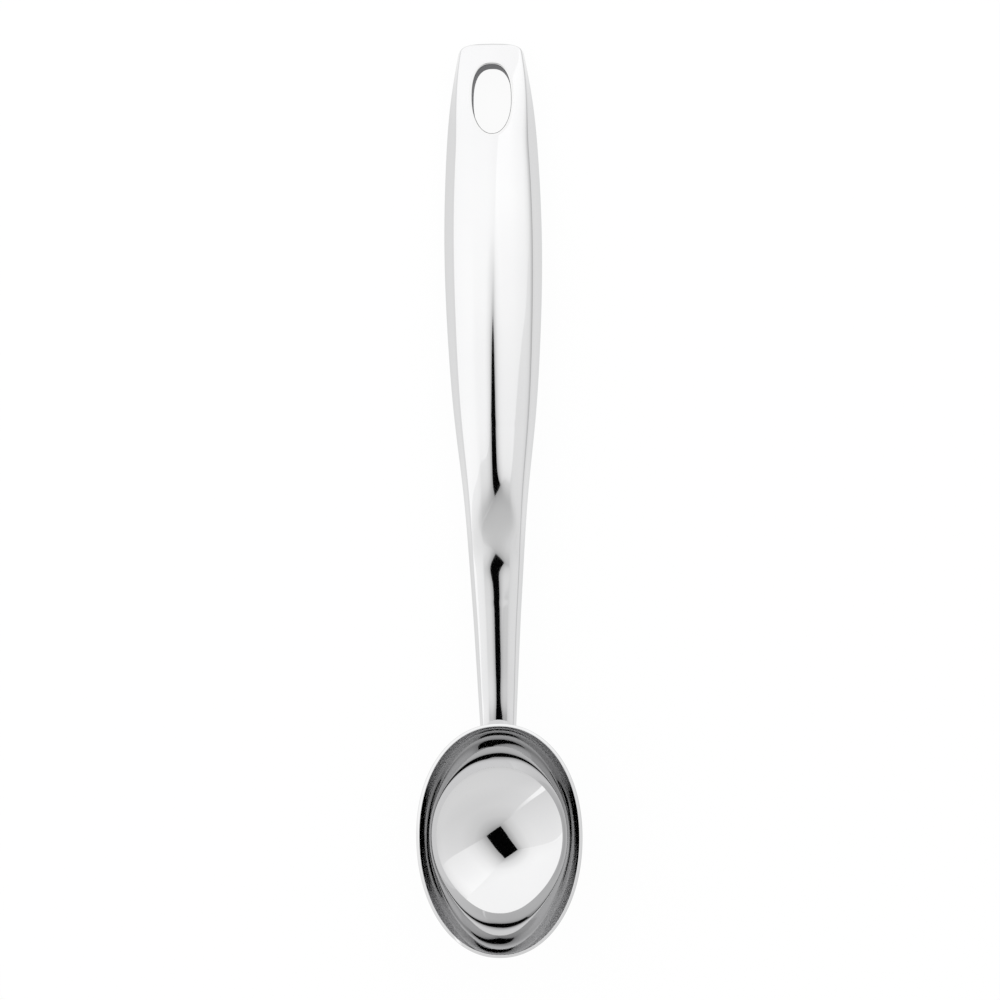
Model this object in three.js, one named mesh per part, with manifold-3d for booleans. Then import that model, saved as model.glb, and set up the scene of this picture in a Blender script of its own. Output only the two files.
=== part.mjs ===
// Ice cream scoop of polished stainless steel, lying on a table with its bowl open upwards.
// Millimetres: X across the handle, Y from the bowl towards the tail, Z up from the table.
// The hollow handle is two pressed halves welded along a seam, with a lined hanging hole in its
// tail, a thumb dimple and a narrow neck, and a weld joins the neck to the pressed oval bowl.

import * as THREE from "three";
import { mergeVertices } from "three/addons/utils/BufferGeometryUtils.js";
import Module from "manifold-3d";

const wasm = await Module();
wasm.setup();

// Overall size and fits
const OVERALL_LENGTH = 220;
const CLEARANCE = 0.3;

// Bowl
const BOWL_LENGTH = 56.3;
const BOWL_WIDTH = 40.1;
const BOWL_DEPTH = 21;
const BOWL_WALL = 1;
const BOWL_SIDE_RISE = 8.1;
const BOWL_SIDE_POWER = 1.55;
const BOWL_END_RISE = 50;
const BOWL_END_POWER = 4.2;
const BOWL_PLAN_POWER = 2.1;
const BOWL_TAPER = 0.028;
const BOWL_LEAN_DEGREES = 2.2;

// Handle widths, and where they are measured along the handle from the tail end
const TAIL_WIDTH = 15.1;
const HOLE_PLACE_WIDTH = 19.9;
const HEEL_WIDTH = 22.5;
const GRIP_WIDTH = 23.7;
const FINGER_WIDTH = 22.1;
const KNUCKLE_WIDTH = 19.7;
const THUMB_WIDTH = 15.8;
const WAIST_WIDTH = 13.1;
const NECK_MIDDLE_WIDTH = 11.5;
const NECK_END_WIDTH = 8.5;
const HOLE_PLACE = 13.6;
const HEEL_PLACE = 28.6;
const GRIP_PLACE = 47.2;
const FINGER_PLACE = 75;
const KNUCKLE_PLACE = 91;
const THUMB_PLACE = 108.7;
const DIMPLE_MIDDLE_PLACE = 116;
const DIMPLE_FOOT_PLACE = 126.4;
const NECK_START_PLACE = 130.5;
const NECK_MIDDLE_PLACE = 139;

// Heights above the table: crest of the soft ridge, shoulders beside it, seam and underside
const TAIL_CREST = 7.4;
const HOLE_CREST = 8.9;
const GRIP_CREST = 12.7;
const KNUCKLE_CREST = 15.3;
const THUMB_CREST = 15.1;
const DIMPLE_MIDDLE_CREST = 14;
const DIMPLE_FOOT_CREST = 12.9;
const NECK_CREST = 12.9;
const TAIL_SHOULDER = 7.1;
const HOLE_SHOULDER = 8.15;
const GRIP_SHOULDER = 11.1;
const KNUCKLE_SHOULDER = 13.6;
const THUMB_SHOULDER = 14.05;
const DIMPLE_MIDDLE_SHOULDER = 13.7;
const DIMPLE_FOOT_SHOULDER = 12.2;
const NECK_SHOULDER = 12.3;
const TAIL_SEAM = 3.2;
const GRIP_SEAM = 6;
const KNUCKLE_SEAM = 8.5;
const NECK_SEAM = 9.8;
const GRIP_KEEL = 0.9;
const KNUCKLE_KEEL = 3.7;
const NECK_KEEL = 6.4;
const NECK_END_KEEL = 7.1;

// Section details of the handle: a softness is how far a corner's rounding reaches along each side,
// and never more than the last share of that side
const TAIL_LAND_LENGTH = 26;
const TAIL_END_REACH = 2.1;
const TAIL_END_POWER = 2.7;
const TAIL_EDGE_RADIUS = 0.8;
const GRIP_SHOULDER_INSET = 1.9;
const NECK_SHOULDER_INSET = 0.85;
const GRIP_KEEL_INSET = 3.2;
const NECK_KEEL_INSET = 1.3;
const GRIP_KEEL_RISE = 1.2;
const NECK_KEEL_RISE = 0.7;
const RIDGE_SOFTNESS = 1.2;
const GRIP_SHOULDER_SOFTNESS = 3;
const NECK_SHOULDER_SOFTNESS = 1.3;
const FLANK_SOFTNESS = 1;
const SEAM_SOFTNESS = 0.6;
const KEEL_SOFTNESS = 1;
const MOST_SOFT = 0.4;
const SHELL_WALL = 1;

// Hanging hole, its sleeve and the welds
const HOLE_LENGTH = 16.9;
const HOLE_WIDTH = 9.4;
const HOLE_POWER = 2.2;
const SLEEVE_WALL = 0.8;
const SEAM_WELD_HEIGHT = 0.8;
const NECK_WELD_WIDTH = 1.2;
const NECK_WELD_PROUD = 0.4;

// Fineness of the curved surfaces
const STATION_SPACING = 5.5;
const RIDGE_STEPS = 3;
const SHOULDER_STEPS = 3;
const SEAM_STEPS = 2;
const KEEL_STEPS = 2;
const TAIL_END_STEPS = 5;
const BOWL_RING_POINTS = 48;
const BOWL_WALL_STEPS = 11;
const HOLE_POINTS = 32;
const MERGE_DISTANCE = 1e-5;

// The first section is a hair inside the tail's end, where the rounded end has some width.
const FIRST_PLACE = 0.03;
const TAIL_Y = OVERALL_LENGTH / 2 + FIRST_PLACE;
// The untrimmed neck runs on into the bowl, and the trimming solids reach well beyond the scoop.
const NECK_END_PLACE = OVERALL_LENGTH - BOWL_LENGTH;
const NECK_OVERRUN = 8;
const HANDLE_REACH = NECK_END_PLACE + NECK_OVERRUN;
const BEYOND = 40;

// Solids

function toSolid(geometry) {
  geometry.deleteAttribute("normal");
  geometry.deleteAttribute("uv");
  const merged = mergeVertices(geometry, MERGE_DISTANCE);
  const vertProperties = new Float32Array(merged.attributes.position.array);
  const triVerts = new Uint32Array(merged.index.array);
  return new wasm.Manifold(new wasm.Mesh({ numProp: 3, vertProperties, triVerts }));
}

function toGeometry(solid) {
  const { vertProperties, triVerts } = solid.getMesh();
  const geometry = new THREE.BufferGeometry();
  geometry.setAttribute("position", new THREE.BufferAttribute(new Float32Array(vertProperties), 3));
  geometry.setIndex(new THREE.BufferAttribute(new Uint32Array(triVerts), 1));
  geometry.computeVertexNormals();
  return geometry;
}

// Skins a row of closed rings with equal counts of points, and closes each end with a fan.
function loft(rings) {
  const count = rings[0].length;
  const points = rings.flat();
  const faces = [];
  const corner = (ring, point) => ring * count + (point % count);
  for (let ring = 0; ring + 1 < rings.length; ring += 1) {
    for (let point = 0; point < count; point += 1) {
      const [a, b] = [corner(ring, point), corner(ring, point + 1)];
      const [c, d] = [corner(ring + 1, point + 1), corner(ring + 1, point)];
      faces.push(a, b, c, a, c, d);
    }
  }
  const closeEnd = (ring, turned) => {
    const middle = new THREE.Vector3();
    rings[ring].forEach((point) => middle.addScaledVector(point, 1 / count));
    const pole = points.push(middle) - 1;
    for (let point = 0; point < count; point += 1) {
      const [a, b] = [corner(ring, point), corner(ring, point + 1)];
      faces.push(pole, turned ? b : a, turned ? a : b);
    }
  };
  closeEnd(0, true);
  closeEnd(rings.length - 1, false);
  const geometry = new THREE.BufferGeometry().setFromPoints(points);
  geometry.setIndex(faces);
  return toSolid(geometry);
}

// Smooth curve through pairs of place and value, read at any place.
function curveThrough(pairs) {
  const places = pairs.map(([place]) => place);
  const values = pairs.map(([, value]) => value);
  const spline = new THREE.CubicInterpolant(places, values, 1);
  return (place) => spline.evaluate(place)[0];
}

// One point of an oval whose power is 2 for an ellipse and more for a fuller outline.
function ovalPoint(halfWidth, halfLength, power, angle) {
  const part = (value) => Math.sign(value) * Math.abs(value) ** (2 / power);
  return new THREE.Vector2(halfWidth * part(Math.cos(angle)), halfLength * part(Math.sin(angle)));
}

function ovalRing(halfWidth, halfLength, power, count, height) {
  return Array.from({ length: count }, (_, index) => {
    const { x, y } = ovalPoint(halfWidth, halfLength, power, (index / count) * 2 * Math.PI);
    return new THREE.Vector3(x, y, height);
  });
}

// Bowl: level oval rings, upright at the sides above the floor's rise and sloping at the ends

// Share of its full reach that a wall has at a height above the floor, round at the floor and upright
// at its rise: the power is 2 for an ellipse and more for a straighter slope.
function wallShare(height, rise, power) {
  const below = Math.max(0, 1 - height / rise);
  return Math.sqrt(1 - below ** power);
}

// Rings of one face of the wall, from the floor up to the rim, moved out by grow from the inner face.
// The bowl is a little wider towards the handle than at its tip.
function bowlFace(grow) {
  const depth = BOWL_DEPTH + grow;
  const sideRise = BOWL_SIDE_RISE + grow;
  const endRise = BOWL_END_RISE + grow;
  const halfWidth = BOWL_WIDTH / 2 - BOWL_WALL + grow;
  const halfLength = BOWL_LENGTH / 2 - BOWL_WALL + grow;
  const fullLength = halfLength / wallShare(depth, endRise, BOWL_END_POWER);
  return Array.from({ length: BOWL_WALL_STEPS }, (_, step) => {
    const height = depth * ((step + 1) / BOWL_WALL_STEPS) ** 2;
    const width = halfWidth * wallShare(height, sideRise, BOWL_SIDE_POWER);
    const length = fullLength * wallShare(height, endRise, BOWL_END_POWER);
    const ring = ovalRing(width, length, BOWL_PLAN_POWER, BOWL_RING_POINTS, height - depth);
    return ring.map(({ x, y, z }) => new THREE.Vector3(x * (1 + BOWL_TAPER * (y / halfLength)), y, z));
  });
}

// Leans a bowl solid towards the tail and sets it on the table with its tip at the far end.
function placeBowl(solid) {
  const lean = solid.rotate([-BOWL_LEAN_DEGREES, 0, 0]);
  return lean.translate(bowlShift);
}

const bowlAtOrigin = loft([...bowlFace(BOWL_WALL), ...bowlFace(0).reverse()]);
const bowlBox = bowlAtOrigin.rotate([-BOWL_LEAN_DEGREES, 0, 0]).boundingBox();
const bowlShift = [0, -OVERALL_LENGTH / 2 - bowlBox.min[1], -bowlBox.min[2]];

// Solid that holds the bowl, its inside and a margin round it, for trimming what meets the bowl.
function bowlKeepOut(margin) {
  const rings = bowlFace(BOWL_WALL + margin);
  const raised = rings.at(-1).map((point) => point.clone().setZ(BOWL_DEPTH));
  return placeBowl(loft([...rings, raised]));
}

// Handle: sections across Y, each a polygon with softened corners

const halfWidthAt = curveThrough([
  [0, TAIL_WIDTH / 2],
  [HOLE_PLACE, HOLE_PLACE_WIDTH / 2],
  [HEEL_PLACE, HEEL_WIDTH / 2],
  [GRIP_PLACE, GRIP_WIDTH / 2],
  [FINGER_PLACE, FINGER_WIDTH / 2],
  [KNUCKLE_PLACE, KNUCKLE_WIDTH / 2],
  [THUMB_PLACE, THUMB_WIDTH / 2],
  [DIMPLE_FOOT_PLACE, WAIST_WIDTH / 2],
  [NECK_MIDDLE_PLACE, NECK_MIDDLE_WIDTH / 2],
  [NECK_END_PLACE, NECK_END_WIDTH / 2],
]);
const crestAt = curveThrough([
  [0, TAIL_CREST],
  [HOLE_PLACE, HOLE_CREST],
  [GRIP_PLACE, GRIP_CREST],
  [KNUCKLE_PLACE, KNUCKLE_CREST],
  [THUMB_PLACE, THUMB_CREST],
  [DIMPLE_MIDDLE_PLACE, DIMPLE_MIDDLE_CREST],
  [DIMPLE_FOOT_PLACE, DIMPLE_FOOT_CREST],
  [NECK_START_PLACE, NECK_CREST],
  [NECK_END_PLACE, NECK_CREST],
]);
const shoulderAt = curveThrough([
  [0, TAIL_SHOULDER],
  [HOLE_PLACE, HOLE_SHOULDER],
  [GRIP_PLACE, GRIP_SHOULDER],
  [KNUCKLE_PLACE, KNUCKLE_SHOULDER],
  [THUMB_PLACE, THUMB_SHOULDER],
  [DIMPLE_MIDDLE_PLACE, DIMPLE_MIDDLE_SHOULDER],
  [DIMPLE_FOOT_PLACE, DIMPLE_FOOT_SHOULDER],
  [NECK_MIDDLE_PLACE, NECK_SHOULDER],
  [NECK_END_PLACE, NECK_SHOULDER],
]);
const seamAt = curveThrough([
  [0, TAIL_SEAM],
  [GRIP_PLACE, GRIP_SEAM],
  [KNUCKLE_PLACE, KNUCKLE_SEAM],
  [NECK_END_PLACE, NECK_SEAM],
]);
const keelAt = curveThrough([
  [0, 0],
  [TAIL_LAND_LENGTH, 0],
  [GRIP_PLACE, GRIP_KEEL],
  [KNUCKLE_PLACE, KNUCKLE_KEEL],
  [NECK_MIDDLE_PLACE, NECK_KEEL],
  [NECK_END_PLACE, NECK_END_KEEL],
]);

// Blend from the grip's value to the neck's as the handle narrows.
function gripToNeck(gripValue, neckValue, place) {
  const share = THREE.MathUtils.smoothstep(place, GRIP_PLACE, NECK_MIDDLE_PLACE);
  return THREE.MathUtils.lerp(gripValue, neckValue, share);
}

// Share of its full width that the rounded tail end has left near its edge.
function tailEndShare(place) {
  const left = Math.max(0, 1 - place / TAIL_END_REACH);
  return (1 - left ** TAIL_END_POWER) ** (1 / TAIL_END_POWER);
}

function tailEdgeDrop(place) {
  const left = Math.max(0, TAIL_EDGE_RADIUS - place);
  return TAIL_EDGE_RADIUS - Math.sqrt(TAIL_EDGE_RADIUS ** 2 - left ** 2);
}

// Closed outline through the corners, each rounded by a curve between its two legs.
function softPolygon(corners) {
  return corners.flatMap((corner, index) => {
    const last = corners.at(index - 1);
    const next = corners[(index + 1) % corners.length];
    const entry = corner.at.clone().add(last.at.clone().sub(corner.at).setLength(corner.before));
    const exit = corner.at.clone().add(next.at.clone().sub(corner.at).setLength(corner.after));
    return new THREE.QuadraticBezierCurve(entry, corner.at, exit).getPoints(corner.steps);
  });
}

// Section at a place along the handle, moved inwards by inset on every side.
function handleRing(place, inset) {
  const edgeDrop = tailEdgeDrop(place);
  const halfWidth = halfWidthAt(place) * tailEndShare(place) - inset;
  const crest = crestAt(place) - inset - edgeDrop;
  const shoulder = shoulderAt(place) - inset - edgeDrop;
  const seam = seamAt(place);
  const keel = Math.max(0, keelAt(place)) + inset + edgeDrop;
  const onLand = THREE.MathUtils.smoothstep(place, TAIL_LAND_LENGTH, GRIP_PLACE);
  const keelRise = onLand * gripToNeck(GRIP_KEEL_RISE, NECK_KEEL_RISE, place);
  const shoulderInset = gripToNeck(GRIP_SHOULDER_INSET, NECK_SHOULDER_INSET, place);
  const keelInset = gripToNeck(GRIP_KEEL_INSET, NECK_KEEL_INSET, place);
  const shoulderX = halfWidth - shoulderInset * tailEndShare(place);
  const keelX = halfWidth - keelInset * tailEndShare(place);
  const facetLeg = gripToNeck(GRIP_SHOULDER_SOFTNESS, NECK_SHOULDER_SOFTNESS, place);
  const topLeg = Math.min(RIDGE_SOFTNESS, shoulderX * MOST_SOFT);
  const shoulderLeg = Math.min(facetLeg, shoulderX * MOST_SOFT);
  const flankLeg = Math.min(FLANK_SOFTNESS, (shoulder - seam) * MOST_SOFT);
  const seamLeg = Math.min(SEAM_SOFTNESS, (seam - keel) * MOST_SOFT);
  const keelLeg = Math.min(KEEL_SOFTNESS, keelX * MOST_SOFT);
  const at = (x, z) => new THREE.Vector2(x, z);
  const left = [
    { at: at(-shoulderX, shoulder), before: shoulderLeg, after: flankLeg, steps: SHOULDER_STEPS },
    { at: at(-halfWidth, seam), before: seamLeg, after: seamLeg, steps: SEAM_STEPS },
    { at: at(-keelX, keel + keelRise), before: keelLeg, after: keelLeg, steps: KEEL_STEPS },
  ];
  const right = left.toReversed().map(({ at: corner, before, after, steps }) => (
    { at: at(-corner.x, corner.y), before: after, after: before, steps }
  ));
  const outline = softPolygon([
    { at: at(0, crest), before: topLeg, after: topLeg, steps: RIDGE_STEPS },
    ...left,
    { at: at(0, keel), before: keelLeg, after: keelLeg, steps: KEEL_STEPS },
    ...right,
  ]);
  return outline.map(({ x, y }) => new THREE.Vector3(x, TAIL_Y - place, y));
}

// Places of the sections: close together round the tail end and the dimple, even elsewhere.
function stationPlaces(start) {
  const tailEnd = Array.from({ length: TAIL_END_STEPS }, (_, step) => {
    const turn = ((step + 1) / (TAIL_END_STEPS + 1)) * (Math.PI / 2);
    return TAIL_END_REACH * (1 - Math.cos(turn) ** (2 / TAIL_END_POWER));
  });
  const stretches = [
    [TAIL_END_REACH, TAIL_LAND_LENGTH, STATION_SPACING],
    [TAIL_LAND_LENGTH, KNUCKLE_PLACE, STATION_SPACING],
    [KNUCKLE_PLACE, NECK_START_PLACE, STATION_SPACING / 2],
    [NECK_START_PLACE, HANDLE_REACH, STATION_SPACING],
  ];
  const even = stretches.flatMap(([from, to, spacing]) => {
    const count = Math.max(1, Math.round((to - from) / spacing));
    return Array.from({ length: count }, (_, step) => from + ((to - from) * step) / count);
  });
  const places = [...tailEnd, ...even, HANDLE_REACH];
  return [start, ...places.filter((place) => place > start + CLEARANCE / 2)];
}

// Solid handle from a place onwards, moved inwards by inset and skinned over every so many sections.
function handleLoft(start, inset, every) {
  const places = stationPlaces(start);
  const kept = places.filter((_, index) => index % every === 0 || index === places.length - 1);
  return loft(kept.map((place) => handleRing(place, inset)));
}

// Slab between two offsets from the seam's height, wider than the scoop.
function seamSlab(lower, upper) {
  const edge = (offset) => stationPlaces(-CLEARANCE).map((place) => (
    new THREE.Vector2(TAIL_Y - place, seamAt(Math.max(0, place)) + offset)
  ));
  const outline = new THREE.Shape([...edge(lower), ...edge(upper).reverse()]);
  const geometry = new THREE.ExtrudeGeometry(outline, { depth: 2 * BEYOND, bevelEnabled: false });
  geometry.translate(0, 0, -BEYOND);
  const across = new THREE.Vector3(0, 1, 0);
  const upward = new THREE.Vector3(0, 0, 1);
  const sideways = new THREE.Vector3(1, 0, 0);
  geometry.applyMatrix4(new THREE.Matrix4().makeBasis(across, upward, sideways));
  return toSolid(geometry);
}

// Upright oval bar through the tail, as wide as the hanging hole plus a margin on every side.
function holeBar(margin) {
  const ring = (height) => ovalRing(
    HOLE_WIDTH / 2 + margin,
    HOLE_LENGTH / 2 + margin,
    HOLE_POWER,
    HOLE_POINTS,
    height,
  ).map((point) => point.add(new THREE.Vector3(0, TAIL_Y - HOLE_PLACE, 0)));
  return loft([ring(-BEYOND), ring(BEYOND)]);
}

const handleOutside = handleLoft(FIRST_PLACE, 0, 1);
const handleInside = handleLoft(SHELL_WALL, SHELL_WALL, 2);
const neckTrim = bowlKeepOut(2 * CLEARANCE + NECK_WELD_WIDTH);
const handleWall = handleOutside.subtract(handleInside).subtract(neckTrim);
const sleeveSeat = holeBar(SLEEVE_WALL + CLEARANCE);
const seamHalf = SEAM_WELD_HEIGHT / 2;

// The pieces

function makeBowl() {
  return placeBowl(bowlAtOrigin);
}

function makeTopShell() {
  return handleWall.intersect(seamSlab(seamHalf + CLEARANCE, BEYOND)).subtract(sleeveSeat);
}

function makeBottomShell() {
  return handleWall.intersect(seamSlab(-BEYOND, -seamHalf - CLEARANCE)).subtract(sleeveSeat);
}

function makeSeamWeld() {
  return handleWall.intersect(seamSlab(-seamHalf, seamHalf));
}

function makeHangingSleeve() {
  return holeBar(SLEEVE_WALL).subtract(holeBar(0)).intersect(handleOutside);
}

function makeNeckWeld() {
  const collar = handleLoft(NECK_MIDDLE_PLACE, -NECK_WELD_PROUD, 1).subtract(handleInside);
  const band = bowlKeepOut(CLEARANCE + NECK_WELD_WIDTH).subtract(bowlKeepOut(CLEARANCE));
  return collar.intersect(band);
}

const PIECES = [
  { name: "bowl", solid: makeBowl(), colour: 0xd4d5d6, roughness: 0.06 },
  { name: "handle_top_shell", solid: makeTopShell(), colour: 0xd6d7d8, roughness: 0.07 },
  { name: "handle_bottom_shell", solid: makeBottomShell(), colour: 0xd6d7d8, roughness: 0.07 },
  { name: "seam_weld", solid: makeSeamWeld(), colour: 0xd0d1d2, roughness: 0.1 },
  { name: "hanging_sleeve", solid: makeHangingSleeve(), colour: 0xc6c7c8, roughness: 0.14 },
  { name: "neck_weld", solid: makeNeckWeld(), colour: 0xcccdce, roughness: 0.12 },
];

const scoop = new THREE.Group();
PIECES.forEach(({ name, solid, colour, roughness }) => {
  const material = new THREE.MeshStandardMaterial({ color: colour, roughness, metalness: 1 });
  const mesh = new THREE.Mesh(toGeometry(solid), material);
  mesh.name = name;
  scoop.add(mesh);
});

export default scoop;
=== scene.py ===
"""Ice cream scoop of mirror-polished stainless steel, lying in a white tent and seen from straight above.

Sizes are in millimetres and become metres where a corner is placed. A place is a distance along the
handle from its tail end, so Y falls as the place grows, and heights are above the table.
"""

import math
from functools import lru_cache

import bmesh
import bpy
import numpy as np
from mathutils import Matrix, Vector


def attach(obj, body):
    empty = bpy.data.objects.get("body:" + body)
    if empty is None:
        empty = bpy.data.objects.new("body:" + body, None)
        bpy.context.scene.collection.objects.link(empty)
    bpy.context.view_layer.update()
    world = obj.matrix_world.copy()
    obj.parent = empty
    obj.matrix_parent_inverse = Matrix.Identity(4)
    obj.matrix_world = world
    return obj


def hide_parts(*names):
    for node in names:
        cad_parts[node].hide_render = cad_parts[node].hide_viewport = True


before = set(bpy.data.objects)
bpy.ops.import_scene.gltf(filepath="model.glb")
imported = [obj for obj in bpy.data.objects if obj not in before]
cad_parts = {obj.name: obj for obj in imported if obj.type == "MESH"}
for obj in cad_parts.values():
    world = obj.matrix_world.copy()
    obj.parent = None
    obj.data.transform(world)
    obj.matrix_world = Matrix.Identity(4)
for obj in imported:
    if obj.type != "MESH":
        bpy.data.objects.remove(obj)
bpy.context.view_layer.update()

MM = 0.001

# Overall sizes
OVERALL_LENGTH = 220.0
TABLE_CLEARANCE = 0.02
TAIL_Y = OVERALL_LENGTH / 2 - TABLE_CLEARANCE

# Bowl: its sides are a round floor with a tighter corner up to the wall, and its ends one long slope
BOWL_LENGTH = 55.9
BOWL_WIDTH = 39.64
BOWL_DEPTH = 20.6
BOWL_WALL = 0.8
BOWL_TIP_GAP = 0.2
BOWL_FLOOR_RISE = 5.09
BOWL_CORNER_RISE = 9.98
BOWL_CORNER_LATENESS = 13.91
BOWL_CORNER_ROUNDNESS = 2.35
BOWL_END_RISE = 50.0
BOWL_END_POWER = 4.2
BOWL_PLAN_POWER = 2.1
BOWL_TAPER = 0.028
BOWL_LEAN = math.radians(2.9)
RIM_OUTER_RADIUS = 0.3
RIM_INNER_RADIUS = 0.12
RIM_FALL = 0.24

# Handle, as (place, size) stops
HALF_WIDTHS = [(0, 7.55), (13.6, 9.95), (28.6, 11.25), (47.2, 11.85), (75, 11.05), (91, 9.85), (108.7, 7.9),
               (126.4, 6.55), (139, 5.75), (163.6, 4.25), (172, 3.75)]
CREST_HEIGHTS = [(0, 7.4), (13, 8.88), (35, 11.5), (50, 13.18), (60, 13.94), (68, 14.39), (75, 14.62),
                 (83, 14.79), (98, 14.98), (105, 14.98), (111, 14.82), (114, 14.63), (118.3, 14.03),
                 (121, 13.38), (123.4, 12.88), (125.5, 12.66), (127.5, 12.59), (130, 12.57), (140, 12.57),
                 (172, 12.57)]
FACET_DROPS = [(0, 0.25), (13, 0.4), (30, 0.95), (47.2, 1.45), (75, 1.8), (91, 1.75), (108, 1.2), (118, 0.9),
               (126, 0.8), (139, 0.7), (152, 0.6), (158.5, 0.53), (161, 0.36), (164, 0.3), (172, 0.3)]
SEAM_HEIGHTS = [(0, 3.2), (47.2, 6.0), (91, 8.5), (139, 9.6), (172, 9.8)]
KEEL_HEIGHTS = [(26, 0), (47.2, 0.9), (91, 3.7), (139, 6.4), (172, 7.2)]
GRIP_PLACE = 47.2
NECK_PLACE = 139.0
NECK_NOMINAL_END = OVERALL_LENGTH - BOWL_LENGTH
TAIL_LAND = 26.0
TAIL_END_REACH = 2.1
TAIL_END_POWER = 2.7
TAIL_EDGE_RADIUS = 0.8
SHEET_WALL = 0.6

# Section details that change from the grip to the neck, as pairs, and those that stay
SHOULDER_INSETS = (2.1, 0.9)
TAIL_SHOULDER_INSET = 0.45
NECK_END_INSET = 0.5
SHOULDER_SOFTNESS = (6.2, 2.2)
SHOULDER_DROPS = (1.2, 0.35)
MOST_SHOULDER_SHARE = 0.4
BROW_SHARE = 0.35
KEEL_INSETS = (3.2, 1.3)
KEEL_RISES = (1.2, 0.7)
RIDGE_SPACING = 2.55
RIDGE_SHARE = 0.45
FLANK_SOFTNESS = 0.9
SEAM_HALF_HEIGHT = 0.45
SEAM_SOFTNESS = 1.1
KEEL_SOFTNESS = 1.2
MOST_LEG_SHARE = 0.45
LEAST_WIDTH = 1e-6

# Thumb rest: a ramp that falls towards the bowl and runs out over the neck
REST_HEIGHTS = [(92, 17.5), (100, 16.1), (107.6, 14.93), (114, 14.0), (118.3, 13.38), (123.4, 12.73),
                (127, 12.6), (131, 13.2), (136, 14.7)]
REST_EDGE_SOFTNESS = 0.36

# Hanging hole, fuller towards the tail, with a bore that leans on its way down, and the neck weld
HOLE_PLACE = 13.6
HOLE_LENGTH = 16.9
HOLE_WIDTH = 9.4
HOLE_TAIL_POWER = 2.5
HOLE_BOWL_POWER = 2.1
BORE_LEAN_X = 0.3
BORE_LEAN_ALONG = 0.22
HOLE_MOUTH_RADIUS = 0.4
SLEEVE_WALL = 0.8
NECK_WELD_RADIUS = 2.2

# Window cut in a half for the hole, before its edge closes in on the oval
WINDOW_SIDE_MARGIN = 1.0
WINDOW_END_MARGIN = 2.2
WINDOW_TAIL_SHARE = 0.45
BLANK_EDGE = 1e-4

# Fineness of the meshes and of the searches
SPAN_STEPS = 6
STATION_STEP = 0.8
TAIL_STATIONS = 14
SIDE_CURVE_POINTS = 2001
BOWL_POINTS = 192
BOWL_STEPS = 96
RIM_STEPS = 5
HOLE_POINTS = 144
HOLE_RINGS = 8
MOUTH_STEPS = 8
BORE_STEPS = 13
SLEEVE_WALL_STEPS = 9
WELD_STEPS = 12
TANGENT_STEP = 0.05
SEARCH_TURNS = 64
SEARCH_HEIGHTS = 200
KNOT_HALVINGS = 26
WALL_HALVINGS = 40
MERGE_DISTANCE = 1e-6
SHARP_ANGLE = math.radians(38)

# Steel: sizes of its haze patches, buffing marks and drawing marks
HAZE_PATCH = 18.0
BUFFING_MARK = 3.5
DRAWING_MARK = 0.8
DRAWING_DEPTH = 0.004

# White tent round the scoop: cloth panels up to an oblong opening for the lens, with the level of light
# at shares of the tent's height, and two gaps between panels where the lamps show brighter. A slit has its
# name, the opening's corner that it hangs from, its turn and spread at the foot, and its light when closed
TENT_HEIGHT = 800.0
TENT_REACH = 1100.0
OPENING_HALF_LENGTH = 157.0
OPENING_HALF_WIDTH = 90.0
OPENING_TURN = math.radians(-54)
OPENING_X = -30.0
OPENING_Y = -13.0
TENT_SEAM_TURNS = [math.radians(turn) for turn in (54, 195, 229, 384)]
EVEN_LEVELS = ((0.0, 0.75), (0.1, 0.97), (0.8, 1.0), (0.87, 0.97), (0.94, 0.8), (1.0, 0.45))
DIM_LEVELS = ((0.0, 0.5), (0.12, 0.6), (0.3, 0.78), (0.42, 0.95), (0.6, 0.97), (0.78, 0.91), (0.88, 0.8),
              (0.95, 0.62), (1.0, 0.4))
LOW_DIM_LEVELS = ((0.0, 0.45), (0.12, 0.55), (0.3, 0.72), (0.45, 0.92), (0.6, 1.0), (0.8, 1.0), (0.86, 0.93),
                  (0.9, 0.83), (0.94, 0.7), (1.0, 0.4))
TENT_PANELS = [
    ("tent upper left", 1.06, EVEN_LEVELS),
    ("tent lower left", 0.97, EVEN_LEVELS),
    ("tent lower right", 1.06, DIM_LEVELS),
    ("tent upper right", 1.14, LOW_DIM_LEVELS),
]
TENT_PANEL_FACES = (24, 12)
TENT_BRIGHT_SIDE = (-0.55, 0.85, 0.0)
TENT_DIM_END = -400.0
TENT_BRIGHT_END = 300.0
TENT_DIM = 0.97
TENT_BRIGHT = 1.32
SLIT_STRENGTH = 1.4
SLIT_CLOSING = (0.62, 0.9)
SLIT_INSIDE_SHARE = 0.98
SLITS = [("tent slit lower", 2, math.radians(229), math.radians(5), 0.85),
         ("tent slit left", 1, math.radians(193), math.radians(1.8), 1.3)]
LENS_SPREAD = 1.3
LENS_ABOVE = 30.0
TABLE_SIZE = 4000.0
TABLE_WHITE_SHARE = 0.94

# Camera straight above, with the slight turn and offset of the photograph
CAMERA_X = 1.0
CAMERA_Y = -0.75
CAMERA_HEIGHT = 812.0
CAMERA_LENS = 119.5
CAMERA_SENSOR = 36.0
CAMERA_ROLL = math.radians(-0.61)


# Curves along the handle

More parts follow.
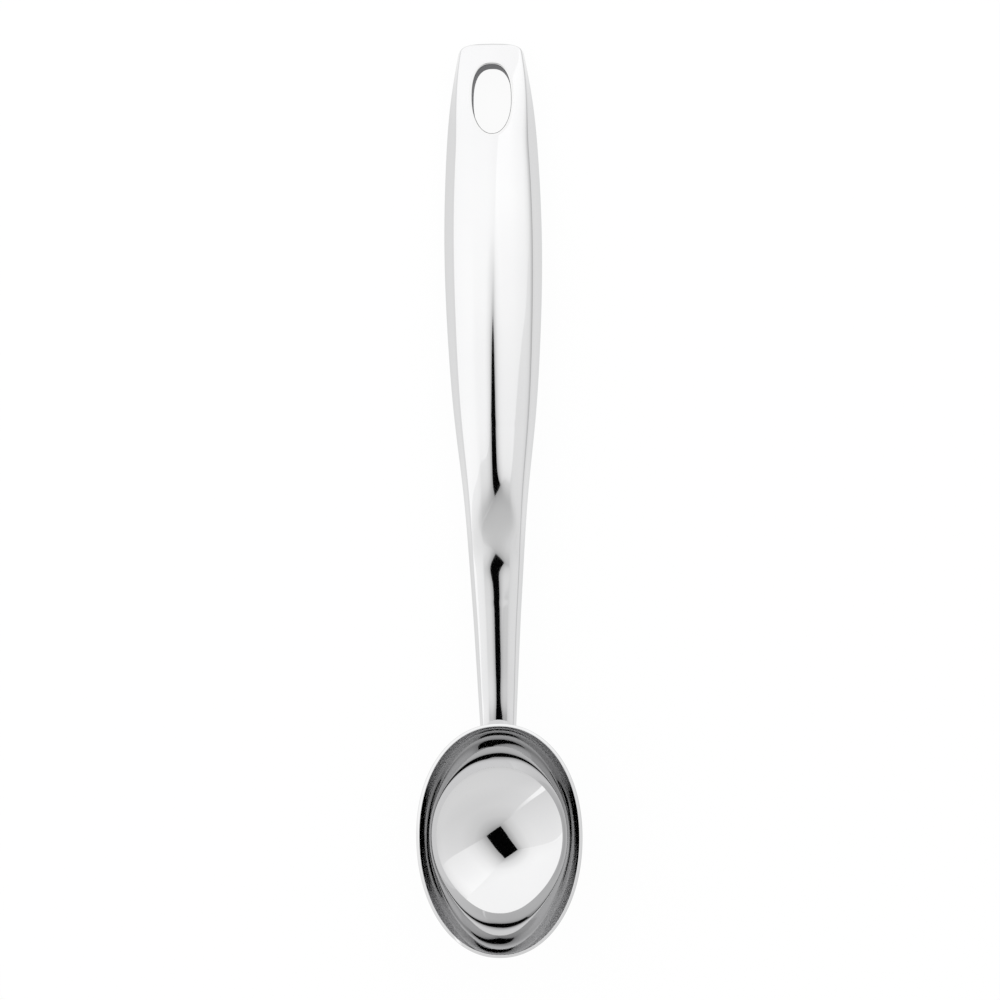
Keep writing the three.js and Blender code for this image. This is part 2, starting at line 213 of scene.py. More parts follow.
def smooth_through(stops):
    """Curve without kinks through (place, value) stops: a natural cubic spline."""
    place, value = np.array(stops, float).T
    gap = np.diff(place)
    slope = np.diff(value) / gap
    system = np.eye(len(place))
    target = np.zeros(len(place))
    for i in range(1, len(place) - 1):
        system[i, i - 1:i + 2] = gap[i - 1], 2 * (gap[i - 1] + gap[i]), gap[i]
        target[i] = 6 * (slope[i] - slope[i - 1])
    bend = np.linalg.solve(system, target)

    def at(where):
        i = min(max(int(np.searchsorted(place, where)) - 1, 0), len(gap) - 1)
        before, after = place[i + 1] - where, where - place[i]
        curved = (bend[i] * before ** 3 + bend[i + 1] * after ** 3) / (6 * gap[i])
        start = (value[i] / gap[i] - bend[i] * gap[i] / 6) * before
        return float(curved + start + (value[i + 1] / gap[i] - bend[i + 1] * gap[i] / 6) * after)

    return at


half_width_at = smooth_through(HALF_WIDTHS)
crest_at = smooth_through(CREST_HEIGHTS)
facet_drop_at = smooth_through(FACET_DROPS)
seam_at = smooth_through(SEAM_HEIGHTS)
keel_curve = smooth_through(KEEL_HEIGHTS)
rest_curve = smooth_through(REST_HEIGHTS)


def smooth_step(value, start, stop):
    share = min(max((value - start) / (stop - start), 0.0), 1.0)
    return share * share * (3 - 2 * share)


def grip_to_neck(pair, place):
    """Blend from the grip's value to the neck's as the handle narrows."""
    return pair[0] + (pair[1] - pair[0]) * smooth_step(place, GRIP_PLACE, NECK_PLACE)


def soft_lower(first, second, softness):
    """The lower of two heights, with the change-over rounded."""
    return (first + second - math.sqrt((first - second) ** 2 + softness ** 2)) / 2


def keel_at(place):
    return max(0.0, keel_curve(place)) if place > TAIL_LAND else 0.0


def thumb_rest_at(place):
    """Height of the thumb rest's floor, and far above the handle where there is none."""
    if REST_HEIGHTS[0][0] < place < REST_HEIGHTS[-1][0]:
        return rest_curve(place)
    return 2 * REST_HEIGHTS[0][1]


# Sections of the handle

# Places of the outline's corners in the list that section() gives, from the right seam over the crest
TOP_START, TOP_END = 1, 17
BOTTOM_START, BOTTOM_END = 19, 29
CORNERS = 30


@lru_cache(maxsize=None)
def section(place):
    """Corners that the rounded outline of the handle is drawn to at a place, as rows of x and z."""
    left_over = max(0.0, 1 - place / TAIL_END_REACH)
    share = max(0.0, 1 - left_over ** TAIL_END_POWER) ** (1 / TAIL_END_POWER)
    edge = max(0.0, TAIL_EDGE_RADIUS - place)
    edge_drop = TAIL_EDGE_RADIUS - math.sqrt(TAIL_EDGE_RADIUS ** 2 - edge ** 2)

    half = half_width_at(place) * share
    past_tail = smooth_step(place, 0, TAIL_LAND)
    near_bowl = smooth_step(place, NECK_PLACE, NECK_NOMINAL_END)
    inset = TAIL_SHOULDER_INSET + (grip_to_neck(SHOULDER_INSETS, place) - TAIL_SHOULDER_INSET) * past_tail
    inset += (NECK_END_INSET - SHOULDER_INSETS[1]) * near_bowl
    shoulder_x = half - inset * share
    keel_x = half - grip_to_neck(KEEL_INSETS, place) * share
    crest = crest_at(place) - edge_drop
    drop = facet_drop_at(place)
    seam = seam_at(place)
    keel = keel_at(place) + edge_drop
    on_land = smooth_step(place, TAIL_LAND, GRIP_PLACE)
    keel_rise = on_land * grip_to_neck(KEEL_RISES, place)

    steepness = drop / max(shoulder_x, LEAST_WIDTH)
    ridge_x = min(RIDGE_SPACING, RIDGE_SHARE * shoulder_x)
    apex = crest + steepness * ridge_x / 3
    shoulder_in = min(grip_to_neck(SHOULDER_SOFTNESS, place), MOST_SHOULDER_SHARE * shoulder_x)
    shoulder_drop = grip_to_neck(SHOULDER_DROPS, place) * past_tail

    def facet(x, below=0.0):
        return x, apex - steepness * x - below

    shoulder = np.array(facet(shoulder_x, shoulder_drop))
    brow = facet(shoulder_x - BROW_SHARE * shoulder_in, BROW_SHARE * shoulder_drop)
    seam_edge = np.array((half, seam))
    keel_edge = np.array((keel_x, keel + keel_rise))

    def toward(start, stop, distance):
        leg = stop - start
        length = np.linalg.norm(leg)
        return start + leg * min(distance / length, MOST_LEG_SHARE)

    right_top = [
        (half, seam),
        (half, seam + SEAM_HALF_HEIGHT),
        toward(seam_edge, shoulder, SEAM_SOFTNESS),
        toward(shoulder, seam_edge, FLANK_SOFTNESS),
        shoulder,
        brow,
        facet(shoulder_x - shoulder_in),
        facet((ridge_x + shoulder_x - shoulder_in) / 2),
        facet(ridge_x),
    ]
    right_bottom = [
        (keel_x / 2, keel + keel_rise / 2),
        keel_edge,
        toward(keel_edge, seam_edge, KEEL_SOFTNESS),
        toward(seam_edge, keel_edge, SEAM_SOFTNESS),
        (half, seam - SEAM_HALF_HEIGHT),
    ]
    flip = np.array((-1.0, 1.0))
    right_top = [np.array(corner, float) for corner in right_top]
    right_bottom = [np.array(corner, float) for corner in right_bottom]
    left_top = [corner * flip for corner in reversed(right_top)]
    left_bottom = [corner * flip for corner in reversed(right_bottom)]
    return np.array([*right_top, (0.0, apex), *left_top, *left_bottom, (0.0, keel), *right_bottom])


def outline_point(knot, place):
    """Point of the rounded outline at a knot, which counts its corners: a cubic B-spline that the thumb
    rest cuts."""
    corners = section(place)
    start = math.floor(knot)
    t = knot - start
    weights = ((1 - t) ** 3, 3 * t ** 3 - 6 * t ** 2 + 4, 3 * (t + t ** 2 - t ** 3) + 1, t ** 3)
    x, z = sum(w / 6 * corners[(start - 1 + i) % CORNERS] for i, w in enumerate(weights))
    if TOP_START <= knot <= TOP_END:
        z = soft_lower(z, thumb_rest_at(place), REST_EDGE_SOFTNESS)
    return x, z


def knot_at_x(x, place, start, stop):
    """Knot between start and stop where the outline passes a distance x from the middle."""
    rising = outline_point(stop, place)[0] > outline_point(start, place)[0]
    for _ in range(KNOT_HALVINGS):
        middle = (start + stop) / 2
        if (outline_point(middle, place)[0] < x) == rising:
            start = middle
        else:
            stop = middle
    return (start + stop) / 2


# Bowl surface

def make_side_curve():
    """Shares of the bowl's half width, closer together near the wall, and the heights of its sides there."""
    shares = 1 - (1 - np.linspace(0, 1, SIDE_CURVE_POINTS)) ** 3
    corner = 1 - (1 - shares ** BOWL_CORNER_LATENESS) ** (1 / BOWL_CORNER_ROUNDNESS)
    return shares, BOWL_FLOOR_RISE * shares ** 2 + BOWL_CORNER_RISE * corner


SIDE_SHARES, SIDE_HEIGHTS = make_side_curve()


def bowl_ring(angle, height, grow):
    """Point of the bowl before it leans, at a height from its rim, on the face that lies grow outside
    the inner one."""
    depth = BOWL_DEPTH + grow
    rise = max(0.0, height + depth)
    wall_start = SIDE_HEIGHTS[-1]
    side_share = float(np.interp(rise * wall_start / (wall_start + grow), SIDE_HEIGHTS, SIDE_SHARES))
    width = (BOWL_WIDTH / 2 - BOWL_WALL + grow) * side_share

    def end_reach(value):
        return math.sqrt(1 - (1 - value / (BOWL_END_RISE + grow)) ** BOWL_END_POWER)

    half_length = BOWL_LENGTH / 2 - BOWL_WALL + grow
    length = half_length * end_reach(rise) / end_reach(depth)
    part = 2 / BOWL_PLAN_POWER
    x = width * math.copysign(abs(math.cos(angle)) ** part, math.cos(angle))
    y = length * math.copysign(abs(math.sin(angle)) ** part, math.sin(angle))
    return Vector((x * (1 + BOWL_TAPER * y / half_length), y, height))


def lean(point):
    """Tips the bowl towards the tail, so that its neck end sinks."""
    x, y, z = point
    turn = -BOWL_LEAN
    return Vector((x, y * math.cos(turn) - z * math.sin(turn), y * math.sin(turn) + z * math.cos(turn)))


def find_bowl_shift():
    """Shift that sets the leaning bowl's tip just short of the far end, and its lowest point just over
    the table."""
    turns = [math.tau * i / SEARCH_TURNS for i in range(SEARCH_TURNS)]
    heights = [-(BOWL_DEPTH + BOWL_WALL) * i / SEARCH_HEIGHTS for i in range(SEARCH_HEIGHTS + 1)]
    ends = (-math.pi / 2, math.pi / 2)
    tip = min(lean(bowl_ring(turn, 0, BOWL_WALL)).y for turn in turns)
    lowest = min(lean(bowl_ring(end, height, BOWL_WALL)).z for end in ends for height in heights)
    return Vector((0, BOWL_TIP_GAP - OVERALL_LENGTH / 2 - tip, TABLE_CLEARANCE - lowest))


BOWL_SHIFT = find_bowl_shift()


def bowl_wall_place(x, z):
    """Place along the handle where its line at x and z meets the outside of the bowl."""
    near, far = BOWL_SHIFT.y, BOWL_SHIFT.y + BOWL_LENGTH
    for _ in range(WALL_HALVINGS):
        y = (near + far) / 2
        turn = BOWL_LEAN
        back_y, back_z = y - BOWL_SHIFT.y, z - BOWL_SHIFT.z
        across_y = back_y * math.cos(turn) - back_z * math.sin(turn)
        height = back_y * math.sin(turn) + back_z * math.cos(turn)
        widest = bowl_ring(0, height, BOWL_WALL).x * (1 + BOWL_TAPER * across_y / (BOWL_LENGTH / 2))
        longest = bowl_ring(math.pi / 2, height, BOWL_WALL).y
        reach = (abs(x) / widest) ** BOWL_PLAN_POWER + (abs(across_y) / longest) ** BOWL_PLAN_POWER
        if reach < 1:
            near = y
        else:
            far = y
    return TAIL_Y - near


# Sheets pressed to shape

def at_place(x, place, z):
    return Vector((x, TAIL_Y - place, z)) * MM


def flat_blank(across, along):
    """Flat sheet of faces, one unit each way, with its first corner at the origin."""
    blank = bmesh.new()
    bmesh.ops.create_grid(blank, x_segments=across, y_segments=along, size=0.5)
    bmesh.ops.translate(blank, verts=blank.verts, vec=(0.5, 0.5, 0))
    return blank


def press(blank, surface):
    """Moves every corner of a blank to surface(u, v), and closes the edges that meet."""
    for vert in blank.verts:
        vert.co = surface(vert.co.x, vert.co.y)
    bmesh.ops.remove_doubles(blank, verts=blank.verts, dist=MERGE_DISTANCE)
    bmesh.ops.dissolve_degenerate(blank, edges=blank.edges, dist=MERGE_DISTANCE)


def quarter_turn(steps):
    """Angles of a quarter turn, from its start to its end."""
    return [math.pi / 2 * i / steps for i in range(steps + 1)]


def finish_piece(name, blank, material, node):
    """Turns a shaped sheet into the object that stands for a CAD node."""
    mesh = bpy.data.meshes.new(name)
    blank.to_mesh(mesh)
    blank.free()
    mesh.shade_smooth()
    mesh.set_sharp_from_angle(angle=SHARP_ANGLE)
    mesh.materials.append(material)
    piece = bpy.data.objects.new(name, mesh)
    bpy.context.scene.collection.objects.link(piece)
    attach(piece, "root")
    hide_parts(node)
    return piece


# Stations along the handle: close together round the tail end, even elsewhere

def make_stations():
    end_turns = np.array(quarter_turn(TAIL_STATIONS)[:-1])
    tail = TAIL_END_REACH * (1 - np.cos(end_turns) ** (2 / TAIL_END_POWER))
    count = round((NECK_NOMINAL_END - TAIL_END_REACH) / STATION_STEP)
    return np.concatenate([tail, np.linspace(TAIL_END_REACH, NECK_NOMINAL_END, count + 1)])


STATIONS = make_stations()
STATION_SHARES = np.linspace(0, 1, len(STATIONS))


def station_at(share):
    return float(np.interp(share, STATION_SHARES, STATIONS))


@lru_cache(maxsize=None)
def neck_end(knot):
    """Place where the handle's sheet stops short of the bowl, under the neck weld."""
    x, z = outline_point(knot, NECK_NOMINAL_END)
    return bowl_wall_place(x, z) - NECK_WELD_RADIUS / 2


def handle_surface(first_knot, last_knot):
    """Surface of the handle between two knots of its outline, as a function of u across and v along."""
    def surface(u, v):
        knot = first_knot + (last_knot - first_knot) * u
        place = station_at(v)
        x, z = outline_point(knot, place)
        if place > NECK_PLACE:
            stretch = (neck_end(round(knot, 6)) - NECK_PLACE) / (NECK_NOMINAL_END - NECK_PLACE)
            place = NECK_PLACE + (place - NECK_PLACE) * stretch
        return at_place(x, place, z)
    return surface


def hole_point(angle, margin):
    """Point of the hanging hole's oval, grown by a margin, as x and the place along the handle."""
    power = 2 / (HOLE_TAIL_POWER if math.sin(angle) < 0 else HOLE_BOWL_POWER)
    x = (HOLE_WIDTH / 2 + margin) * math.copysign(abs(math.cos(angle)) ** power, math.cos(angle))
    along = (HOLE_LENGTH / 2 + margin) * math.copysign(abs(math.sin(angle)) ** power, math.sin(angle))
    return x, HOLE_PLACE + along


def hole_point_towards(x, along, margin):
    """Point of the grown oval in the direction of a point beside it."""
    half_x, half_along = HOLE_WIDTH / 2 + margin, HOLE_LENGTH / 2 + margin
    across, up = x / half_x, along / half_along
    power = HOLE_TAIL_POWER if along < 0 else HOLE_BOWL_POWER
    scale = (abs(across) ** power + abs(up) ** power) ** (-1 / power)
    return x * scale, HOLE_PLACE + along * scale


def cut_hole(blank, first_knot, last_knot):
    """Opens a blank for the hanging sleeve: a window of faces goes, and rings close in on the oval."""
    spans = last_knot - first_knot
    middle = (first_knot + last_knot) / 2
    side = outline_point(first_knot, HOLE_PLACE)[0]
    window_x = math.copysign(HOLE_WIDTH / 2 + SLEEVE_WALL + WINDOW_SIDE_MARGIN, side)
    reach = abs(knot_at_x(window_x, HOLE_PLACE, first_knot + 2, middle) - middle) / spans
    starts = WINDOW_TAIL_SHARE * (HOLE_PLACE - HOLE_LENGTH / 2 - SLEEVE_WALL)
    stops = HOLE_PLACE + HOLE_LENGTH / 2 + SLEEVE_WALL + WINDOW_END_MARGIN
    window = []
    for face in blank.faces:
        centre = face.calc_center_median()
        if abs(centre.x - 0.5) < reach and starts < station_at(centre.y) < stops:
            window.append(face)
    bmesh.ops.delete(blank, geom=window, context="FACES")

    def is_inside(vert):
        return all(BLANK_EDGE < value < 1 - BLANK_EDGE for value in vert.co.xy)

    ring = [edge for edge in blank.edges if edge.is_boundary and all(map(is_inside, edge.verts))]
    targets = {}
    for vert in {vert for edge in ring for vert in edge.verts}:
        knot = first_knot + spans * vert.co.x
        place = station_at(vert.co.y)
        x = outline_point(knot, place)[0]
        lip_x, lip_place = hole_point_towards(x, place - HOLE_PLACE, SLEEVE_WALL)
        lip_knot = knot_at_x(lip_x, lip_place, first_knot + 2, last_knot - 2)
        lip_u = (lip_knot - first_knot) / spans
        lip_v = float(np.interp(lip_place, STATIONS, STATION_SHARES))
        targets[vert] = (vert.co.copy(), Vector((lip_u, lip_v, 0)))
    for step in range(1, HOLE_RINGS + 1):
        made = bmesh.ops.extrude_edge_only(blank, edges=ring)["geom"]
        fresh = [item for item in made if isinstance(item, bmesh.types.BMVert)]
        ring = [edge for edge in made if isinstance(edge, bmesh.types.BMEdge)
                and all(vert in fresh for vert in edge.verts)]
        moved = {}
        for vert in fresh:
            last = next(edge.other_vert(vert) for edge in vert.link_edges if edge.other_vert(vert) in targets)
            moved[vert] = targets[last]
            vert.co = moved[vert][0].lerp(moved[vert][1], step / HOLE_RINGS)
        targets = moved


def make_shell(name, node, material, first_knot, last_knot):
    spans = round(last_knot - first_knot)
    blank = flat_blank(spans * SPAN_STEPS, len(STATIONS) - 1)
    cut_hole(blank, first_knot, last_knot)
    press(blank, handle_surface(first_knot, last_knot))
    bmesh.ops.solidify(blank, geom=blank.faces[:], thickness=SHEET_WALL * MM)
    return finish_piece(name, blank, material, node)


def make_seam_weld(material):
    """Ground strip between the halves, down both sides of the handle and round its tail."""
    joined = bmesh.new()
    for first, last in ((TOP_END, BOTTOM_START), (BOTTOM_END, TOP_START + CORNERS)):
        blank = flat_blank(SPAN_STEPS, len(STATIONS) - 1)
        press(blank, handle_surface(first, last))
        side = bpy.data.meshes.new("seam_side")
        blank.to_mesh(side)
        blank.free()
        joined.from_mesh(side)
        bpy.data.meshes.remove(side)
    bmesh.ops.remove_doubles(joined, verts=joined.verts, dist=MERGE_DISTANCE)
    bmesh.ops.solidify(joined, geom=joined.faces[:], thickness=SHEET_WALL * MM)
    return finish_piece("ground_seam_weld", joined, material, "seam_weld")


def make_sleeve(material):
    """Oval tube with rounded mouths, flush with both halves."""
    radius = HOLE_MOUTH_RADIUS
    turns = quarter_turn(MOUTH_STEPS)
    mouth = [(radius * (1 - math.sin(turn)), radius * (1 - math.cos(turn))) for turn in turns]
    bore = [(0.0, share) for share in np.linspace(0, 1, BORE_STEPS + 1)[1:-1]]
    wall = [(SLEEVE_WALL, share) for share in np.linspace(1, 0, SLEEVE_WALL_STEPS + 1)]

    def top_height(x, place):
        return outline_point(knot_at_x(x, place, TOP_START + 3, TOP_END - 3), place)[1]

    rows = [("top", *step) for step in mouth]
    rows += [("bore", *step) for step in bore]
    rows += [("bottom", *step) for step in reversed(mouth)]
    rows += [("wall", *step) for step in wall]
    rows.append(rows[0])

    @lru_cache(maxsize=None)
    def corner(turn, row):
        kind, margin, share = rows[row]
        x, place = hole_point(math.tau * turn, margin)
        top, bottom = top_height(x, place), keel_at(place)
        if kind == "top":
            z = top - share
        elif kind == "bottom":
            z = bottom + share
        elif kind == "bore":
            z = top - radius + (bottom + radius - (top - radius)) * share
        else:
            z = bottom + (top - bottom) * (1 - share)
        depth = 0.0 if kind == "wall" else (top - z) / (top - bottom)
        return at_place(x + BORE_LEAN_X * depth, place + BORE_LEAN_ALONG * depth, z)

    blank = flat_blank(HOLE_POINTS, len(rows) - 1)
    press(blank, lambda u, v: corner(round(u % 1, 9), round(v * (len(rows) - 1))))
    bmesh.ops.recalc_face_normals(blank, faces=blank.faces)
    return finish_piece("drawn_hanging_sleeve", blank, material, "hanging_sleeve")


def make_bowl(material):
    """Pressed oval bowl: outer face up to the rim, over its rounded edges, and down the inner face."""
    rows = [(-(BOWL_DEPTH + BOWL_WALL) * (1 - (i / BOWL_STEPS) ** 2), BOWL_WALL) for i in range(BOWL_STEPS)]
    outer, inner = RIM_OUTER_RADIUS, RIM_INNER_RADIUS
    rows = [row for row in rows if row[0] < -RIM_FALL - outer]
    turns = quarter_turn(RIM_STEPS)
    rows += [(-RIM_FALL - outer * (1 - math.sin(t)), BOWL_WALL - outer * (1 - math.cos(t))) for t in turns]
    rows += [(-inner * (1 - math.cos(t)), inner * (1 - math.sin(t))) for t in turns]
    down = [(-BOWL_DEPTH * (1 - (i / BOWL_STEPS) ** 2), 0.0) for i in range(BOWL_STEPS - 1, -1, -1)]
    rows += [row for row in down if row[0] < -inner]
    blank = flat_blank(BOWL_POINTS, len(rows) - 1)

    def surface(u, v):
        height, grow = rows[round(v * (len(rows) - 1))]
        return (lean(bowl_ring(math.tau * u, height, grow)) + BOWL_SHIFT) * MM

    press(blank, surface)
    bmesh.ops.recalc_face_normals(blank, faces=blank.faces)
    return finish_piece("pressed_bowl", blank, material, "bowl")


def make_neck_weld(material):
    """Hollow fillet round the end of the neck, from the handle's skin to the outside of the bowl."""
    turns = quarter_turn(WELD_STEPS)
    points = CORNERS * SPAN_STEPS
    radius = NECK_WELD_RADIUS
    rows = [(radius * (1 - math.sin(turn)), radius * (1 - math.cos(turn))) for turn in turns]
    rows += [(0.0, -SHEET_WALL), rows[0]]

    @lru_cache(maxsize=None)
    def skin_corner(step):
        knot = TOP_START + CORNERS * step / points
        before = np.array(outline_point(knot - TANGENT_STEP, NECK_NOMINAL_END))
        after = np.array(outline_point(knot + TANGENT_STEP, NECK_NOMINAL_END))
        along = (after - before) / np.linalg.norm(after - before)
        return np.array(outline_point(knot, NECK_NOMINAL_END)), np.array((along[1], -along[0]))

    def surface(u, v):
        gap, grow = rows[round(v * (len(rows) - 1))]
        skin, out = skin_corner(round(u * points) % points)
        x, z = skin + out * grow
        return at_place(x, bowl_wall_place(x, z) - gap, z)

    blank = flat_blank(points, len(rows) - 1)
    press(blank, surface)
    bmesh.ops.recalc_face_normals(blank, faces=blank.faces)
    return finish_piece("neck_weld_fillet", blank, material, "neck_weld")


# Materials

def linear(hex_colour):
    """Linear colour of an sRGB hex value."""
    channels = [int(hex_colour[i:i + 2], 16) / 255 for i in (1, 3, 5)]
    return (*[c / 12.92 if c <= 0.04045 else ((c + 0.055) / 1.055) ** 2.4 for c in channels], 1.0)


def add(tree, kind, settings=None, inputs=None):
    """Adds a node with its settings, and links or sets its inputs."""
    made = tree.nodes.new("ShaderNode" + kind)
    for name, value in (settings or {}).items():
        setattr(made, name, value)
    for name, value in (inputs or {}).items():
        if isinstance(value, bpy.types.NodeSocket):
            tree.links.new(value, made.inputs[name])
        else:
            made.inputs[name].default_value = value
    return made


def new_material(name):
    material = bpy.data.materials.new(name)
    material.use_nodes = True
    material.node_tree.nodes.clear()
    return material, material.node_tree


def polished_steel(name, colour, haze, gloss, gloss_spread, wave_mm, wave_depth_mm):
    """Stainless steel buffed to a mirror: sharp reflections, a faint haze that comes and goes in thumb-sized
    patches, and the slow waviness that pressing and buffing leave in thin sheet."""
    material, tree = new_material(name)
    where = add(tree, "TexCoord").outputs["Object"]
    patches = add(tree, "TexNoise", inputs={"Vector": where, "Scale": 1 / (HAZE_PATCH * MM), "Detail": 3.0})
    tint = add(tree, "Mix", {"data_type": "RGBA"},
               {0: patches.outputs[0], 6: linear(colour), 7: linear(haze)})
    buffing = add(tree, "TexNoise", inputs={"Vector": where, "Scale": 1 / (BUFFING_MARK * MM), "Detail": 5.0})
    rough = add(tree, "MapRange", inputs={"Value": buffing.outputs[0], "From Min": 0.3, "From Max": 0.7,
                                          "To Min": gloss, "To Max": gloss + gloss_spread})
    waves = add(tree, "TexNoise", inputs={"Vector": where, "Scale": 1 / (wave_mm * MM), "Detail": 1.0})
    bump = add(tree, "Bump", inputs={"Height": waves.outputs[0], "Strength": 1.0,
                                     "Distance": wave_depth_mm * MM})
    shader = add(tree, "BsdfPrincipled", inputs={"Base Color": tint.outputs[2], "Metallic": 1.0,
                                                 "Roughness": rough.outputs[0], "Normal": bump.outputs[0]})
    add(tree, "OutputMaterial", inputs={"Surface": shader.outputs[0]})
    return material


def drawn_steel_painted_bore_shade(name, buffed, shaded_bore_colour):
    """Drawn tube that is buffed bright at its mouths and rougher down the bore, whose upright faces take a
    darker colour that is painted shade.
    """
    material, tree = new_material(name)
    where = add(tree, "TexCoord").outputs["Object"]
    normal = add(tree, "NewGeometry").outputs["Normal"]
    facing = add(tree, "SeparateXYZ", inputs={"Vector": normal}).outputs["Z"]
    size = add(tree, "Math", {"operation": "ABSOLUTE"}, {0: facing})
    bright = add(tree, "MapRange", inputs={"Value": size.outputs[0], "From Min": 0.3, "From Max": 0.75})
    # Upright faces of the bore get the dark colour, which is painted shade inside the hole, on top of the
    # real rougher drawn finish
    tint = add(tree, "Mix", {"data_type": "RGBA"}, {0: bright.outputs[0], 6: linear(shaded_bore_colour), 7: linear(buffed)})
    drawn = add(tree, "TexNoise", inputs={"Vector": where, "Scale": 1 / (DRAWING_MARK * MM), "Detail": 4.0})
    rough = add(tree, "MapRange", inputs={"Value": bright.outputs[0], "To Min": 0.45, "To Max": 0.06})
    bump = add(tree, "Bump", inputs={"Height": drawn.outputs[0], "Strength": 1.0,
                                     "Distance": DRAWING_DEPTH * MM})
    shader = add(tree, "BsdfPrincipled", inputs={"Base Color": tint.outputs[2], "Metallic": 1.0,
                                                 "Roughness": rough.outputs[0], "Normal": bump.outputs[0],
                                                 "Specular Tint": linear("#CACACB")})
    add(tree, "OutputMaterial", inputs={"Surface": shader.outputs[0]})
    return material


def tent_cloth(name, share, levels):
    """White cloth lit from behind, brighter on the tail's side, and dimmer by the table and by the lens."""
    material, tree = new_material(name)
    where = add(tree, "TexCoord").outputs["Object"]
    height = add(tree, "SeparateXYZ", inputs={"Vector": where}).outputs["Z"]
    level = add(tree, "MapRange", inputs={"Value": height, "From Min": 0.0, "From Max": TENT_HEIGHT * MM})
    ramp = add(tree, "ValToRGB", inputs={"Fac": level.outputs[0]})
    for index, (position, value) in enumerate(levels):
        stop = ramp.color_ramp.elements[index] if index < 2 else ramp.color_ramp.elements.new(position)
        stop.position = position
        stop.color = (value, value, value, 1)
    side = add(tree, "VectorMath", {"operation": "DOT_PRODUCT"}, {0: where, 1: TENT_BRIGHT_SIDE})
    strength = add(tree, "MapRange", inputs={"Value": side.outputs["Value"], "From Min": TENT_DIM_END * MM,
                                             "From Max": TENT_BRIGHT_END * MM, "To Min": share * TENT_DIM,
                                             "To Max": share * TENT_BRIGHT})
    glow = add(tree, "Emission", inputs={"Color": ramp.outputs["Color"], "Strength": strength.outputs[0]})
    add(tree, "OutputMaterial", inputs={"Surface": glow.outputs[0]})
    return material


def bright_slit(name, closed_strength):
    """Gap between two tent panels, where the lamp behind shows brighter, and which closes up towards the
    lens."""
    material, tree = new_material(name)
    where = add(tree, "TexCoord").outputs["Object"]
    height = add(tree, "SeparateXYZ", inputs={"Vector": where}).outputs["Z"]
    closing, closed = (share * TENT_HEIGHT * MM for share in SLIT_CLOSING)
    strength = add(tree, "MapRange", inputs={"Value": height, "From Min": closing, "From Max": closed,
                                             "To Min": SLIT_STRENGTH, "To Max": closed_strength})
    glow = add(tree, "Emission", inputs={"Color": (1, 1, 1, 1), "Strength": strength.outputs[0]})
    add(tree, "OutputMaterial", inputs={"Surface": glow.outputs[0]})
    return material


def plain_matt(name, colour):
    material, tree = new_material(name)
    shader = add(tree, "BsdfDiffuse", inputs={"Color": linear(colour)})
    add(tree, "OutputMaterial", inputs={"Surface": shader.outputs[0]})
    return material


def white_table():
    """White paper that reads as white to the camera and in the steel, and still takes the scoop's shadow.
    From below it is clear, so that the underside can be looked at."""
    material, tree = new_material("white table paper")
    path = add(tree, "LightPath")
    camera, glossy = path.outputs["Is Camera Ray"], path.outputs["Is Glossy Ray"]
    seen = add(tree, "Math", {"operation": "MAXIMUM"}, {0: camera, 1: glossy})
    through = path.outputs["Is Transmission Ray"]
    seen = add(tree, "Math", {"operation": "MAXIMUM"}, {0: seen.outputs[0], 1: through})
    share = add(tree, "Math", {"operation": "MULTIPLY"}, {0: seen.outputs[0], 1: TABLE_WHITE_SHARE})
    paper = add(tree, "BsdfDiffuse", inputs={"Color": linear("#FAFAFA")})
    white = add(tree, "Emission", inputs={"Color": (1, 1, 1, 1), "Strength": 1.0})
    mixed = add(tree, "MixShader", inputs={0: share.outputs[0], 1: paper.outputs[0], 2: white.outputs[0]})
    clear = add(tree, "BsdfTransparent")
    below = add(tree, "NewGeometry").outputs["Backfacing"]
    side = add(tree, "MixShader", inputs={0: below, 1: mixed.outputs[0], 2: clear.outputs[0]})
    add(tree, "OutputMaterial", inputs={"Surface": side.outputs[0]})
    return material


# Tent, table, camera

def add_stage(name, blank, material):
    mesh = bpy.data.meshes.new(name)
    blank.to_mesh(mesh)
    blank.free()
    mesh.materials.append(material)
    stage = bpy.data.objects.new(name, mesh)
    bpy.context.scene.collection.objects.link(stage)
    return stage


def opening_corner(long_side, short_side):
    """Corner of the tent's opening for the lens, as a point over the table."""
    along = Vector((math.cos(OPENING_TURN), math.sin(OPENING_TURN), 0))
    across = Vector((-math.sin(OPENING_TURN), math.cos(OPENING_TURN), 0))
    middle = Vector((OPENING_X, OPENING_Y, TENT_HEIGHT))
    return middle + along * OPENING_HALF_LENGTH * long_side + across * OPENING_HALF_WIDTH * short_side


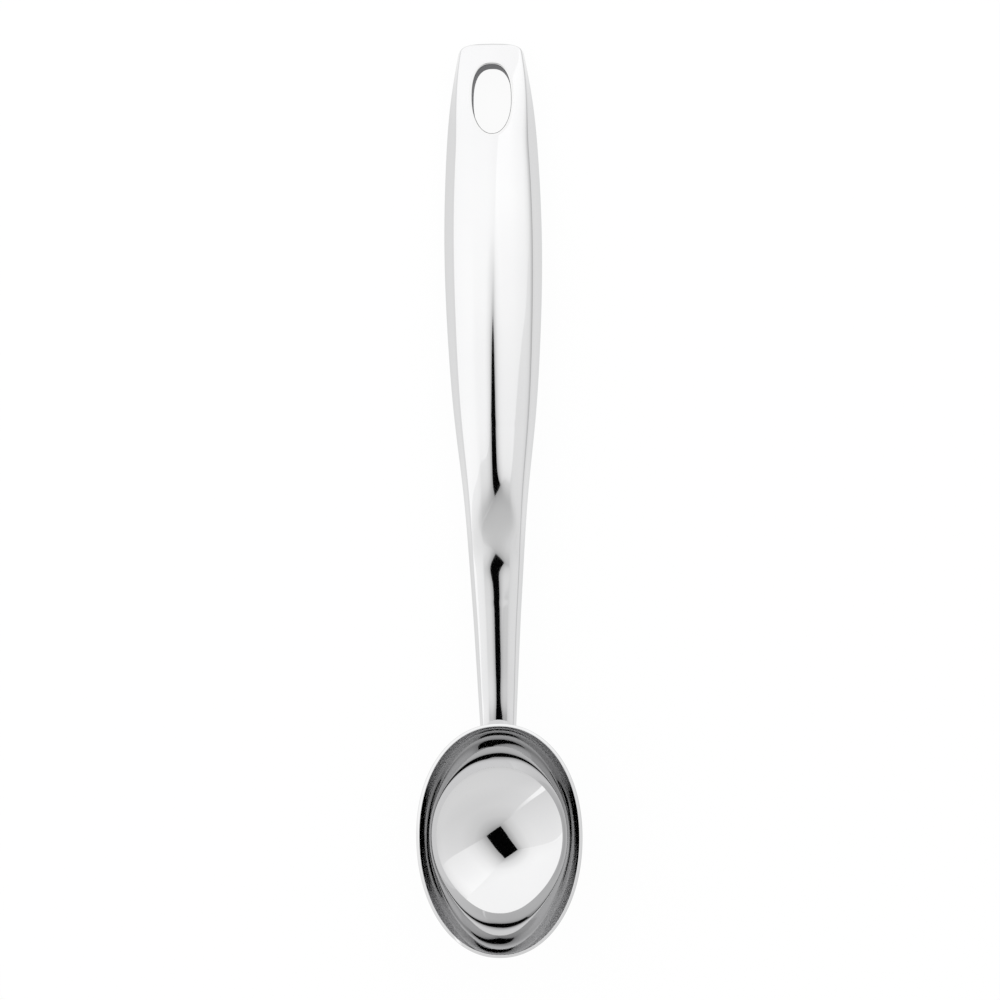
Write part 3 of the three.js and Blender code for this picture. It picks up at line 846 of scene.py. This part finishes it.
def make_tent():
    """White cloth panels from the lens's opening down to the table, and the dark lens above it."""
    corners = [opening_corner(*signs) for signs in ((-1, 1), (-1, -1), (1, -1), (1, 1))]
    for index, (name, share, levels) in enumerate(TENT_PANELS):
        following = (index + 1) % 4
        first_turn = TENT_SEAM_TURNS[index]
        last_turn = TENT_SEAM_TURNS[following] + (math.tau if following == 0 else 0)
        blank = flat_blank(*TENT_PANEL_FACES)

        def surface(u, v):
            turn = first_turn + (last_turn - first_turn) * u
            top = corners[index].lerp(corners[following], u)
            foot = Vector((math.cos(turn), math.sin(turn), 0)) * TENT_REACH
            return top.lerp(foot, v) * MM

        press(blank, surface)
        panel = add_stage(name.replace(" ", "_"), blank, tent_cloth(name, share, levels))
        panel.visible_camera = False
    for name, index, turn, spread, closed_strength in SLITS:
        blank = flat_blank(2, 2)

        def surface(u, v):
            edge = turn + spread * u
            foot = Vector((math.cos(edge), math.sin(edge), 0)) * TENT_REACH
            return corners[index].lerp(foot, v) * SLIT_INSIDE_SHARE * MM

        press(blank, surface)
        slit = add_stage(name.replace(" ", "_"), blank, bright_slit(name, closed_strength))
        slit.visible_camera = False
    lens = flat_blank(1, 1)

    def lens_surface(u, v):
        corner = opening_corner(LENS_SPREAD * (2 * u - 1), LENS_SPREAD * (2 * v - 1))
        return (corner + Vector((0, 0, LENS_ABOVE))) * MM

    press(lens, lens_surface)
    dark = add_stage("dark_lens", lens, plain_matt("matt black", "#050505"))
    dark.visible_camera = False


def make_table():
    blank = flat_blank(1, 1)
    press(blank, lambda u, v: Vector((u - 0.5, v - 0.5, 0)) * TABLE_SIZE * MM)
    add_stage("table", blank, white_table())
    world = bpy.data.worlds.new("white room")
    world.use_nodes = True
    background = world.node_tree.nodes["Background"]
    background.inputs["Color"].default_value = (1, 1, 1, 1)
    background.inputs["Strength"].default_value = 1.0
    bpy.context.scene.world = world


def make_camera():
    data = bpy.data.cameras.new("overhead camera")
    data.sensor_width = CAMERA_SENSOR
    data.lens = CAMERA_LENS
    camera = bpy.data.objects.new("overhead camera", data)
    camera.location = Vector((CAMERA_X, CAMERA_Y, CAMERA_HEIGHT)) * MM
    camera.rotation_euler = (0, 0, CAMERA_ROLL)
    bpy.context.scene.collection.objects.link(camera)
    bpy.context.scene.camera = camera


# Making

bowl_steel = polished_steel("mirror-polished stainless bowl", "#D5D5D5", "#D0D0D1", 0.02, 0.02, 16, 0.002)
handle_steel = polished_steel("mirror-polished stainless handle", "#DADADA", "#D5D5D6",
                              0.035, 0.03, 14, 0.004)
# The darker colour is painted shade for the bore of the hanging hole
sleeve_steel = drawn_steel_painted_bore_shade("drawn stainless sleeve with painted bore shade", "#D6D6D6", "#747476")
weld_steel = polished_steel("ground and buffed weld", "#D7D7D7", "#CFCFD0", 0.06, 0.05, 4, 0.004)

make_bowl(bowl_steel)
make_shell("pressed_top_half", "handle_top_shell", handle_steel, TOP_START, TOP_END)
make_shell("pressed_bottom_half", "handle_bottom_shell", handle_steel, BOTTOM_START, BOTTOM_END)
make_seam_weld(weld_steel)
make_sleeve(sleeve_steel)
make_neck_weld(weld_steel)
make_tent()
make_table()
make_camera()

bpy.context.scene.view_settings.view_transform = "Standard"
# Light runs round the bowl's upright wall many times before it leaves, so more of its bounces are followed
bpy.context.scene.cycles.glossy_bounces = 12
